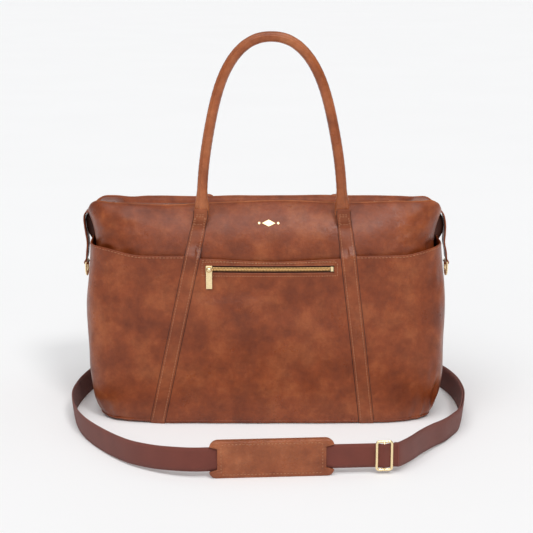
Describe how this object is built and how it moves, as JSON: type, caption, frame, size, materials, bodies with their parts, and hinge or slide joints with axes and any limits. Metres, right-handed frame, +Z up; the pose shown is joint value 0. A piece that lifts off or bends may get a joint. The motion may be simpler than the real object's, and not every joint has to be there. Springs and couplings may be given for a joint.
{
  "type": "weekender bag",
  "caption": "Leather weekender bag with two rolled handles, slip pockets, a front zip pocket, side rings and a detached webbing shoulder strap.",
  "frame": {"origin": "middle of the bag's footprint, on the floor", "axes": "+Z up, +X to the bag's right as seen from the front, the front faces -Y"},
  "size_m": [0.5483, 0.564, 0.536],
  "materials": {
    "leather": "smooth waxed full grain, satin",
    "pad_leather": "smooth waxed full grain, satin",
    "lining_cloth": "plain woven cotton",
    "zip_tape": "woven tape",
    "webbing": "heavy ribbed webbing",
    "board": "matte",
    "rope_core": "twisted cord",
    "foil": "pressed foil",
    "brass": "polished, light gold"
  },
  "bodies": {
    "bag": {"base_panel": "leather", "base_board": "board", "base_feet": "brass", "front_body_panel": "leather", "back_body_panel": "leather", "side_gusset_left": "leather", "side_gusset_right": "leather", "front_pocket_panel": "leather", "back_pocket_panel": "leather", "end_pocket_left": "leather", "end_pocket_right": "leather", "top_facing_front": "leather", "top_facing_back": "leather", "main_zip_tapes": "zip_tape", "main_zip_teeth": "brass", "main_zip_stops": "brass", "front_zip_welt": "leather", "front_zip_tapes": "zip_tape", "front_zip_teeth": "brass", "front_zip_stops": "brass", "front_zip_pouch": "lining_cloth", "band_front_left": "leather", "band_front_right": "leather", "band_back_left": "leather", "band_back_right": "leather", "lining": "lining_cloth", "inner_pocket": "lining_cloth", "foil_mark": "foil"},
    "main_slider": {"main_zip_slider": "brass"},
    "main_pull": {"main_zip_pull": "brass"},
    "front_slider": {"front_zip_slider": "brass"},
    "front_pull": {"front_zip_pull": "brass"},
    "tab_left": {"wing_tab_left": "leather"},
    "tab_right": {"wing_tab_right": "leather"},
    "ring_left": {"d_ring_left": "brass"},
    "ring_right": {"d_ring_right": "brass"},
    "front_handle": {"front_handle_cover": "leather", "front_handle_core": "rope_core", "front_handle_ends": "leather"},
    "back_handle": {"back_handle_cover": "leather", "back_handle_core": "rope_core", "back_handle_ends": "leather"},
    "strap": {"strap_webbing": "webbing", "strap_return": "webbing", "hook_eye_left": "brass", "hook_eye_right": "brass"},
    "pad": {"strap_pad": "pad_leather", "strap_pad_backing": "pad_leather"},
    "adjuster": {"strap_adjuster": "brass"},
    "hook_left": {"hook_body_left": "brass"},
    "gate_left": {"hook_gate_left": "brass"},
    "hook_right": {"hook_body_right": "brass"},
    "gate_right": {"hook_gate_right": "brass"}
  },
  "joints": [
    {"name": "front_handle_fold", "type": "hinge", "parent": "bag", "child": "front_handle", "pos_m": [0.0075, -0.09, 0.29], "axis": [1, 0, 0], "range_deg": [-18, 147]},
    {"name": "back_handle_fold", "type": "hinge", "parent": "bag", "child": "back_handle", "pos_m": [0.0075, 0.09, 0.29], "axis": [1, 0, 0], "range_deg": [0, 165]},
    {"name": "main_zip_travel", "type": "slide", "parent": "bag", "child": "main_slider", "axis": [-1, 0, 0], "range_m": [0, 0.352]},
    {"name": "main_pull_flip", "type": "hinge", "parent": "main_slider", "child": "main_pull", "pos_m": [0.176, 0, 0.2909], "axis": [0, 1, 0], "range_deg": [0, 180]},
    {"name": "front_zip_travel", "type": "slide", "parent": "bag", "child": "front_slider", "axis": [1, 0, 0], "range_m": [0, 0.158]},
    {"name": "front_pull_swing", "type": "hinge", "parent": "front_slider", "child": "front_pull", "pos_m": [-0.078, -0.1105, 0.217], "axis": [0, 1, 0], "range_deg": [-90, 90]},
    {"name": "tab_left_lift", "type": "hinge", "parent": "bag", "child": "tab_left", "pos_m": [-0.2539, 0, 0.274], "axis": [0, 1, 0], "range_deg": [0, 110]},
    {"name": "tab_right_lift", "type": "hinge", "parent": "bag", "child": "tab_right", "pos_m": [0.2539, 0, 0.274], "axis": [0, -1, 0], "range_deg": [0, 110]},
    {"name": "ring_left_swing", "type": "hinge", "parent": "tab_left", "child": "ring_left", "pos_m": [-0.256, 0, 0.206], "axis": [0, 1, 0], "range_deg": [-4, 110]},
    {"name": "ring_right_swing", "type": "hinge", "parent": "tab_right", "child": "ring_right", "pos_m": [0.256, 0, 0.206], "axis": [0, -1, 0], "range_deg": [-4, 110]},
    {"name": "strap_lift", "type": "slide", "parent": "bag", "child": "strap", "axis": [0, 0, 1], "range_m": [0, 0.45]},
    {"name": "pad_slide", "type": "slide", "parent": "strap", "child": "pad", "axis": [0.9973, 0.0741, 0], "range_m": [-0.013, 0.024]},
    {"name": "adjuster_slide", "type": "slide", "parent": "strap", "child": "adjuster", "axis": [0.9973, 0.0741, 0], "range_m": [-0.006, 0.003]},
    {"name": "hook_left_swivel", "type": "hinge", "parent": "strap", "child": "hook_left", "pos_m": [-0.15, 0.172, 0.0197], "axis": [1, 0, 0], "continuous": true},
    {"name": "gate_left_open", "type": "hinge", "parent": "hook_left", "child": "gate_left", "pos_m": [-0.1345, 0.165, 0.0197], "axis": [0, 0, 1], "range_deg": [0, 30], "stiffness_Nm_per_rad": 0.02},
    {"name": "hook_right_swivel", "type": "hinge", "parent": "strap", "child": "hook_right", "pos_m": [0.165, 0.172, 0.0197], "axis": [-1, 0, 0], "continuous": true},
    {"name": "gate_right_open", "type": "hinge", "parent": "hook_right", "child": "gate_right", "pos_m": [0.1495, 0.179, 0.0197], "axis": [0, 0, 1], "range_deg": [0, 30], "stiffness_Nm_per_rad": 0.02}
  ]
}
